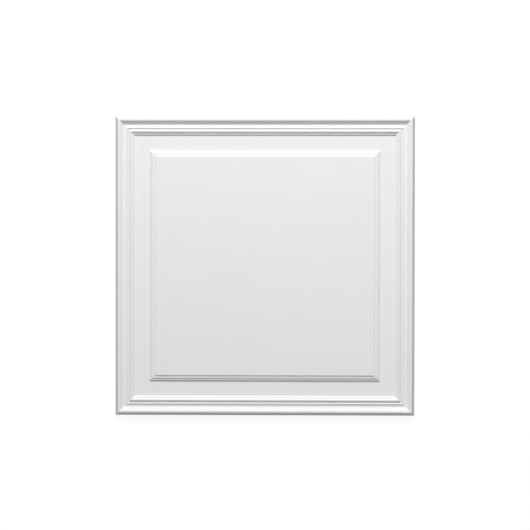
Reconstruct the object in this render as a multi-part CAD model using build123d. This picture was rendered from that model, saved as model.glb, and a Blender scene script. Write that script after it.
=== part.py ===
"""Square decorative wall panel, moulded in one piece with a flat back.

The border is a classical moulding carried round the four sides with mitred corners. Inside it lies a
sunk flat field, and inside that a raised centre with a stepped and rounded edge. The panel lies on its
back: the origin is the middle of the back face, +Z points out of the decorated face, +X runs across the
wall and +Y up the wall.
"""

import os

from build123d import *

# Driving dimensions, in millimetres.
panel_width = 550.0  # outer edge to outer edge, across the wall
panel_height = 550.0  # outer edge to outer edge, up the wall

# Heights above the back face.
crest_height = 17.0  # flat top of the border, the highest part
hollow_height = 10.1  # foot of the splay
lip_height = 13.6  # rounded lip on the inner side of the hollow
quirk_height = 10.5  # bottom of the narrow groove
bead_height = 15.7  # corner that the bead rounds off
fillet_height = 11.3  # narrow flat under the bead
field_height = 8.6  # sunk flat field
shoulder_height = 11.6  # top of the first step of the raised centre
margin_height = 13.6  # narrow flat round the raised centre
centre_height = 15.5  # raised flat centre

# Runs of the section's members, measured inwards from the outer edge, in order.
edge_draft = 6.0  # slope of the outer edge
crest_land = 3.5
splay_run = 7.8
lip_run = 5.7
quirk_fall = 2.0
bead_rise = 3.8
bead_fall = 4.1
fillet_land = 1.6
field_drop = 1.7
field_width = 27.9
shoulder_rise = 1.7
shoulder_land = 1.1
ovolo_run = 2.8
margin_land = 3.7
centre_rise = 1.3

# Radii of the section's corners.
arris_radius = 1.6  # outer corner of the crest
crest_radius = 2.0  # inner corner of the crest
hollow_radius = 4.2
lip_radius = 1.0
quirk_radius = 0.4
bead_radius = 2.4
ovolo_radius = 3.0
corner_radius = 0.5  # every small step and fillet


def outline_corners():
    """Corners of the decorated side of the section, each as run to it, height and corner radius."""
    return [
        (edge_draft, crest_height, arris_radius),
        (crest_land, crest_height, crest_radius),
        (splay_run, hollow_height, hollow_radius),
        (lip_run, lip_height, lip_radius),
        (quirk_fall, quirk_height, quirk_radius),
        (bead_rise, bead_height, bead_radius),
        (bead_fall, fillet_height, corner_radius),
        (fillet_land, fillet_height, corner_radius),
        (field_drop, field_height, corner_radius),
        (field_width, field_height, corner_radius),
        (shoulder_rise, shoulder_height, corner_radius),
        (shoulder_land, shoulder_height, corner_radius),
        (ovolo_run, margin_height, ovolo_radius),
        (margin_land, margin_height, corner_radius),
        (centre_rise, centre_height, corner_radius),
    ]


def border_section():
    """Closed face of the section, with x inwards from the outer edge and y up from the back face."""
    inward = 0.0
    points = [(0.0, 0.0)]
    radii = []
    for run, height, radius in outline_corners():
        inward += run
        points.append((inward, height))
        radii.append(radius)
    inner_edge = inward + corner_radius * 2
    points.append((inner_edge, centre_height))
    decorated = FilletPolyline(*points, radius=radii)
    back = Polyline(points[-1], (inner_edge, 0.0), (0.0, 0.0))
    return make_face(decorated.edges() + back.edges()), inner_edge


def mitred_run(section, length):
    """One side of the border, its outer edge on the X axis, cut at 45 degrees at both ends."""
    across = Plane(origin=(0, 0, 0), x_dir=(0, 1, 0), z_dir=(1, 0, 0))
    run = extrude(across * section, amount=length / 2, both=True)
    for side in (-1, 1):
        mitre = Plane(origin=(side * length / 2, 0, 0), z_dir=(-side, -1, 0))
        run = split(run, bisect_by=mitre, keep=Keep.TOP)
    return run


def wall_panel():
    """The whole panel as one solid: four mitred sides and the flat centre they enclose."""
    section, inner_edge = border_section()
    panel = Pos(0, 0, centre_height / 2) * Box(
        panel_width - 2 * inner_edge, panel_height - 2 * inner_edge, centre_height
    )
    for turn, length, reach in (
        (0, panel_width, panel_height / 2),
        (90, panel_height, panel_width / 2),
        (180, panel_width, panel_height / 2),
        (270, panel_height, panel_width / 2),
    ):
        panel += Rot(0, 0, turn) * Pos(0, -reach, 0) * mitred_run(section, length)
    return panel.clean()


os.makedirs("parts", exist_ok=True)
export_step(wall_panel(), "parts/wall_panel.step")
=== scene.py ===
import math

import bmesh
import bpy
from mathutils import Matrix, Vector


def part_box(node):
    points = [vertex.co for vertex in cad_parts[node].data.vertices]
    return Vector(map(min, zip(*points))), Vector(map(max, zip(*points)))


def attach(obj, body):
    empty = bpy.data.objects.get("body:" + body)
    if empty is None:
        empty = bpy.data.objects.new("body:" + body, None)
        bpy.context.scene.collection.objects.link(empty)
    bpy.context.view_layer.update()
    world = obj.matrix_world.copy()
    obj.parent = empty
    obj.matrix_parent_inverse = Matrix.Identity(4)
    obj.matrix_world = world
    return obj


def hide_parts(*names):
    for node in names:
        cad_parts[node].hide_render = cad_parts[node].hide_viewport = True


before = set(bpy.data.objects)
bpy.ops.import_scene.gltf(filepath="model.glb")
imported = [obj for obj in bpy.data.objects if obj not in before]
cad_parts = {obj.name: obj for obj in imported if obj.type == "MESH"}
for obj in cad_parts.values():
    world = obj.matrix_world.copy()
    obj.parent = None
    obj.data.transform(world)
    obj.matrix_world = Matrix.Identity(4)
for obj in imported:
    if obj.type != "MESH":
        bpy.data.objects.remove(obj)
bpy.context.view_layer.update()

# The panel is one moulding: rigid polyurethane foamed in a closed mould, flat on the back, with a classical
# border mitred at the corners, a sunk flat field and a raised flat centre. It leaves the mould with a skin
# and is sprayed with white primer. It lies on its back and is fixed by gluing that back to a wall.
millimetre = 0.001
panel_low, panel_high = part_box("wall_panel")
panel_width = panel_high.x - panel_low.x
panel_height = panel_high.y - panel_low.y
panel_thickness = panel_high.z - panel_low.z

# Heights above the back face, in millimetres.
crest_height = panel_thickness / millimetre  # flat top of the border, the highest part
hollow_height = 10.1  # foot of the splay
lip_height = 13.6  # rounded lip on the inner side of the hollow
quirk_height = 10.5  # bottom of the narrow groove
bead_height = 15.7  # corner that the bead rounds off
fillet_height = 11.3  # narrow flat under the bead
field_height = 8.6  # sunk flat field
shoulder_height = 11.6  # top of the first step of the raised centre
margin_height = 13.6  # narrow flat round the raised centre
centre_height = 15.5  # raised flat centre

# Runs of the section's members, measured inwards from the outer edge, in order, in millimetres.
edge_draft = 6.0  # slope of the outer edge, from the back up to the crest
crest_land = 3.5
splay_run = 7.8
lip_run = 5.7
quirk_fall = 2.0
bead_rise = 3.8
bead_fall = 4.1
fillet_land = 1.6
field_drop = 1.7
field_width = 27.9
shoulder_rise = 1.7
shoulder_land = 1.1
ovolo_run = 2.8
margin_land = 3.7
centre_rise = 1.3

# Radii of the section's corners, in millimetres.
arris_radius = 1.6  # outer corner of the crest
crest_radius = 2.0  # inner corner of the crest
hollow_radius = 4.2
lip_radius = 1.0
quirk_radius = 0.4
bead_radius = 2.4
ovolo_radius = 3.0
corner_radius = 0.5  # every small step and fillet

# Each member as the run to its inner corner, and that corner's height and radius.
members = [
    (edge_draft, crest_height, arris_radius),
    (crest_land, crest_height, crest_radius),
    (splay_run, hollow_height, hollow_radius),
    (lip_run, lip_height, lip_radius),
    (quirk_fall, quirk_height, quirk_radius),
    (bead_rise, bead_height, bead_radius),
    (bead_fall, fillet_height, corner_radius),
    (fillet_land, fillet_height, corner_radius),
    (field_drop, field_height, corner_radius),
    (field_width, field_height, corner_radius),
    (shoulder_rise, shoulder_height, corner_radius),
    (shoulder_land, shoulder_height, corner_radius),
    (ovolo_run, margin_height, ovolo_radius),
    (margin_land, margin_height, corner_radius),
    (centre_rise, centre_height, corner_radius),
]
corner_segments = 6


def ring_edges(shape, inset, height):
    """The four edges of the section's corner that lies this far inside the outer edge, at this height."""
    tolerance = 0.01 * millimetre
    found = []
    for edge in shape.edges:
        distances = [
            max(
                abs(panel_width / 2 - abs(vertex.co.x) - inset),
                abs(panel_height / 2 - abs(vertex.co.y) - inset),
                abs(vertex.co.z - height),
            )
            for vertex in edge.verts
        ]
        if max(distances) < tolerance:
            found.append(edge)
    return found


def round_ring(shape, inset, height, turn, radius):
    """Rounds one corner of the section, all the way round, with an arc of this radius."""
    bmesh.ops.bevel(
        shape,
        geom=ring_edges(shape, inset, height),
        offset=radius * math.tan(abs(turn) / 2),
        offset_type="OFFSET",
        affect="EDGES",
        segments=corner_segments,
        profile=0.5,
        material=-1,
        clamp_overlap=True,
        loop_slide=True,
    )


shape = bmesh.new()
bmesh.ops.create_cube(shape, size=1.0)
bmesh.ops.scale(shape, vec=(panel_width, panel_height, panel_thickness), verts=shape.verts)
bmesh.ops.translate(shape, vec=(0, 0, panel_thickness / 2), verts=shape.verts)
face = max(shape.faces, key=lambda candidate: candidate.calc_center_median().z)
inset = edge_draft * millimetre
height = panel_thickness
slope = math.atan2(height, inset)
bmesh.ops.scale(shape, vec=(1 - 2 * inset / panel_width, 1 - 2 * inset / panel_height, 1), verts=face.verts)
corners = []
corner_rounding = arris_radius * millimetre
for run, corner_height, radius in members[1:]:
    run_in = run * millimetre
    rise = corner_height * millimetre - height
    next_slope = math.atan2(rise, run_in)
    corners.append((inset, height, next_slope - slope, corner_rounding))
    bmesh.ops.inset_region(shape, faces=[face], thickness=run_in, depth=rise, use_even_offset=True)
    inset += run_in
    height += rise
    slope = next_slope
    corner_rounding = radius * millimetre
corners.append((inset, height, -slope, corner_rounding))
for corner in corners:
    round_ring(shape, *corner)
below_section = panel_thickness / 4  # lower than every corner of the section but the back edge
for edge in shape.edges:
    first, second = (vertex.co for vertex in edge.verts)
    is_mitre = first.x * second.x > 0 and first.y * second.y > 0
    is_back_edge = max(first.z, second.z) < below_section
    edge.smooth = not (is_mitre or is_back_edge)
panel_mesh = bpy.data.meshes.new("wall_panel_moulding")
shape.to_mesh(panel_mesh)
shape.free()
panel = bpy.data.objects.new("wall_panel_moulding", panel_mesh)
bpy.context.scene.collection.objects.link(panel)
for polygon in panel_mesh.polygons:
    polygon.use_smooth = True
smoothing = panel.modifiers.new("even_normals", "WEIGHTED_NORMAL")
smoothing.mode = "FACE_AREA"
smoothing.weight = 100
smoothing.keep_sharp = True
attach(panel, "root")
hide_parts("wall_panel")


def linear(hex_colour):
    """An sRGB hex colour as linear red, green, blue and alpha."""
    channels = [int(hex_colour[start:start + 2], 16) / 255 for start in (1, 3, 5)]
    return [c / 12.92 if c <= 0.04045 else ((c + 0.055) / 1.055) ** 2.4 for c in channels] + [1.0]


def add_node(material, kind, settings=None, inputs=None, links=None):
    """Adds one node, sets its settings and input values and links named inputs to other nodes' outputs."""
    tree = material.node_tree
    node = tree.nodes.new(kind)
    for name, value in (settings or {}).items():
        setattr(node, name, value)
    for name, value in (inputs or {}).items():
        node.inputs[name].default_value = value
    for name, (source, output) in (links or {}).items():
        tree.links.new(source.outputs[output], node.inputs[name])
    return node


# White primer sprayed on the face and edges. It reads as an even, nearly matt white. Close to, the spray
# leaves a faint orange peel, and tone and sheen drift slowly where the coat lies thicker or thinner.
primer = bpy.data.materials.new("sprayed white primer on moulded polyurethane")
primer.use_nodes = True
primer.node_tree.nodes.clear()
primer_thick = linear("#EDEDED")
primer_thin = linear("#EAEAEA")
roughness_thick = 0.74
roughness_thin = 0.84
primer_ior = 1.5
primer_specular = 0.2  # less gloss than a bare coat of that index, because the primer is full of filler
spray_patch = 60.0 * millimetre  # width of one pass of the spray fan
peel_size = 3.0 * millimetre  # drawn about twice as coarse as the real peel, so that it shows
peel_depth = 0.004 * millimetre
colour_a, colour_b, colour_result = 6, 7, 2  # places of the colour sockets on a Mix node
place = add_node(primer, "ShaderNodeTexCoord")
spray = add_node(
    primer,
    "ShaderNodeTexNoise",
    inputs={"Scale": 1 / spray_patch, "Detail": 3.0, "Roughness": 0.5},
    links={"Vector": (place, "Object")},
)
tone = add_node(
    primer,
    "ShaderNodeMix",
    settings={"data_type": "RGBA"},
    inputs={colour_a: primer_thin, colour_b: primer_thick},
    links={"Factor": (spray, "Fac")},
)
sheen = add_node(
    primer,
    "ShaderNodeMapRange",
    inputs={"From Min": 0.3, "From Max": 0.7, "To Min": roughness_thin, "To Max": roughness_thick},
    links={"Value": (spray, "Fac")},
)
peel = add_node(
    primer,
    "ShaderNodeTexNoise",
    inputs={"Scale": 1 / peel_size, "Detail": 1.0},
    links={"Vector": (place, "Object")},
)
bump = add_node(
    primer,
    "ShaderNodeBump",
    inputs={"Strength": 1.0, "Distance": peel_depth},
    links={"Height": (peel, "Fac")},
)
coat = add_node(
    primer,
    "ShaderNodeBsdfPrincipled",
    inputs={"IOR": primer_ior, "Specular IOR Level": primer_specular},
    links={
        "Base Color": (tone, colour_result),
        "Roughness": (sheen, "Result"),
        "Normal": (bump, "Normal"),
    },
)
add_node(primer, "ShaderNodeOutputMaterial", links={"Surface": (coat, "BSDF")})
panel_mesh.materials.append(primer)

# The back keeps the bare skin of the moulded foam, as the spray only reaches the face and the edges: a
# warmer off-white, dull, and sanded lightly across so that adhesive takes to it.
bare_skin = bpy.data.materials.new("bare moulded polyurethane skin, sanded")
bare_skin.use_nodes = True
bare_skin.node_tree.nodes.clear()
skin_pale = linear("#EAE5D8")
skin_deep = linear("#DED6C4")
cell_size = 1.2 * millimetre  # cells of the foam under the skin, drawn coarser than real so that they show
cell_depth = 0.03 * millimetre
scratch_pitch = 2.0 * millimetre  # sanding scratches, drawn coarser than real so that they show
scratch_length = 80.0 * millimetre
skin_roughness = 0.75
skin_ior = 1.5
skin_place = add_node(bare_skin, "ShaderNodeTexCoord")
stretch = add_node(
    bare_skin,
    "ShaderNodeMapping",
    inputs={"Scale": (1 / scratch_length, 1 / scratch_pitch, 1.0)},
    links={"Vector": (skin_place, "Object")},
)
scratches = add_node(
    bare_skin,
    "ShaderNodeTexNoise",
    inputs={"Scale": 1.0, "Detail": 3.0},
    links={"Vector": (stretch, "Vector")},
)
skin_tone = add_node(
    bare_skin,
    "ShaderNodeMix",
    settings={"data_type": "RGBA"},
    inputs={colour_a: skin_deep, colour_b: skin_pale},
    links={"Factor": (scratches, "Fac")},
)
cells = add_node(
    bare_skin,
    "ShaderNodeTexVoronoi",
    inputs={"Scale": 1 / cell_size},
    links={"Vector": (skin_place, "Object")},
)
skin_bump = add_node(
    bare_skin,
    "ShaderNodeBump",
    inputs={"Strength": 0.6, "Distance": cell_depth},
    links={"Height": (cells, "Distance")},
)
skin = add_node(
    bare_skin,
    "ShaderNodeBsdfPrincipled",
    inputs={"Roughness": skin_roughness, "IOR": skin_ior},
    links={"Base Color": (skin_tone, colour_result), "Normal": (skin_bump, "Normal")},
)
add_node(bare_skin, "ShaderNodeOutputMaterial", links={"Surface": (skin, "BSDF")})
panel_mesh.materials.append(bare_skin)
back_face = min(panel_mesh.polygons, key=lambda polygon: polygon.center.z)
back_face.material_index = 1

# The floor is a pale sheet of board that the panel lies on. It shows white to the camera and keeps a faint
# shadow, and it throws light on the panel's edges as white board does.
floor_drop = 0.2 * millimetre
floor_reach = 12.0
board_bounce = linear("#D0D0D0")  # what the panel is lit by
board_shade = linear("#6A6A6A")  # how strongly the shadow shows
board_glow = 0.9  # brings the lit board up to white
floor_shape = bmesh.new()
bmesh.ops.create_grid(floor_shape, x_segments=1, y_segments=1, size=floor_reach)
bmesh.ops.translate(floor_shape, vec=(0, 0, -floor_drop), verts=floor_shape.verts)
floor_mesh = bpy.data.meshes.new("floor")
floor_shape.to_mesh(floor_mesh)
floor_shape.free()
floor = bpy.data.objects.new("floor", floor_mesh)
bpy.context.scene.collection.objects.link(floor)
board = bpy.data.materials.new("matt white board")
board.use_nodes = True
board.node_tree.nodes.clear()
rays = add_node(board, "ShaderNodeLightPath")
seen = add_node(
    board,
    "ShaderNodeMath",
    settings={"operation": "ADD", "use_clamp": True},
    links={0: (rays, "Is Camera Ray"), 1: (rays, "Is Glossy Ray")},
)
seen = add_node(
    board,
    "ShaderNodeMath",
    settings={"operation": "ADD", "use_clamp": True},
    links={0: (seen, "Value"), 1: (rays, "Is Transmission Ray")},
)
matt = add_node(board, "ShaderNodeBsdfDiffuse", inputs={"Color": board_bounce})
pale = add_node(board, "ShaderNodeBsdfDiffuse", inputs={"Color": board_shade})
glow = add_node(board, "ShaderNodeEmission", inputs={"Strength": board_glow})
bright = add_node(board, "ShaderNodeAddShader", links={0: (pale, "BSDF"), 1: (glow, "Emission")})
board_mix = add_node(
    board,
    "ShaderNodeMixShader",
    links={"Fac": (seen, "Value"), 1: (matt, "BSDF"), 2: (bright, "Shader")},
)
add_node(board, "ShaderNodeOutputMaterial", links={"Surface": (board_mix, "Shader")})
floor_mesh.materials.append(board)

# One large soft light stands at the head of the panel, low enough to rake the mouldings, and the white
# room fills the shadows.
key_width = 1.4
key_depth = 0.95
key_distance = 3.5
key_tilt = math.radians(49)
key_turn = math.radians(15)
key_power = 119.0
room_level = 0.305
key = bpy.data.lights.new("key", "AREA")
key.shape = "RECTANGLE"
key.size = key_width
key.size_y = key_depth
key.energy = key_power
key_object = bpy.data.objects.new("key", key)
key_object.location = (0, key_distance * math.sin(key_tilt), key_distance * math.cos(key_tilt))
key_object.rotation_euler = (-key_tilt, 0, key_turn)
key_object.visible_camera = False
bpy.context.scene.collection.objects.link(key_object)
room = bpy.data.worlds.new("white room")
bpy.context.scene.world = room
room.use_nodes = True
room.node_tree.nodes.clear()
room_rays = add_node(room, "ShaderNodeLightPath")
room_seen = add_node(
    room,
    "ShaderNodeMath",
    settings={"operation": "ADD", "use_clamp": True},
    links={0: (room_rays, "Is Camera Ray"), 1: (room_rays, "Is Glossy Ray")},
)
room_seen = add_node(
    room,
    "ShaderNodeMath",
    settings={"operation": "ADD", "use_clamp": True},
    links={0: (room_seen, "Value"), 1: (room_rays, "Is Transmission Ray")},
)
fill = add_node(room, "ShaderNodeBackground", inputs={"Strength": room_level})
white = add_node(room, "ShaderNodeBackground", inputs={"Strength": 1.0})
for background in (fill, white):
    background.inputs["Color"].default_value = linear("#FFFFFF")
room_mix = add_node(
    room,
    "ShaderNodeMixShader",
    links={"Fac": (room_seen, "Value"), 1: (fill, "Background"), 2: (white, "Background")},
)
add_node(room, "ShaderNodeOutputWorld", links={"Surface": (room_mix, "Shader")})

# The camera looks down on the panel from a few widths away, within a degree of straight on, as the
# photograph does. Its lean and turn come from the photograph's four edges, which are not quite parallel.
camera_place = (0.0448, 0.0517, 3.0)
camera_lean_x = math.radians(-0.957)
camera_lean_y = math.radians(0.855)
camera_turn = math.radians(0.084)
sensor_width = 36.0
lens_length = 110.9
camera = bpy.data.cameras.new("camera")
camera.sensor_width = sensor_width
camera.lens = lens_length
camera_object = bpy.data.objects.new("camera", camera)
camera_object.location = camera_place
camera_object.rotation_euler = (camera_lean_x, camera_lean_y, camera_turn)
bpy.context.scene.collection.objects.link(camera_object)
bpy.context.scene.camera = camera_object
bpy.context.scene.view_settings.view_transform = "Standard"
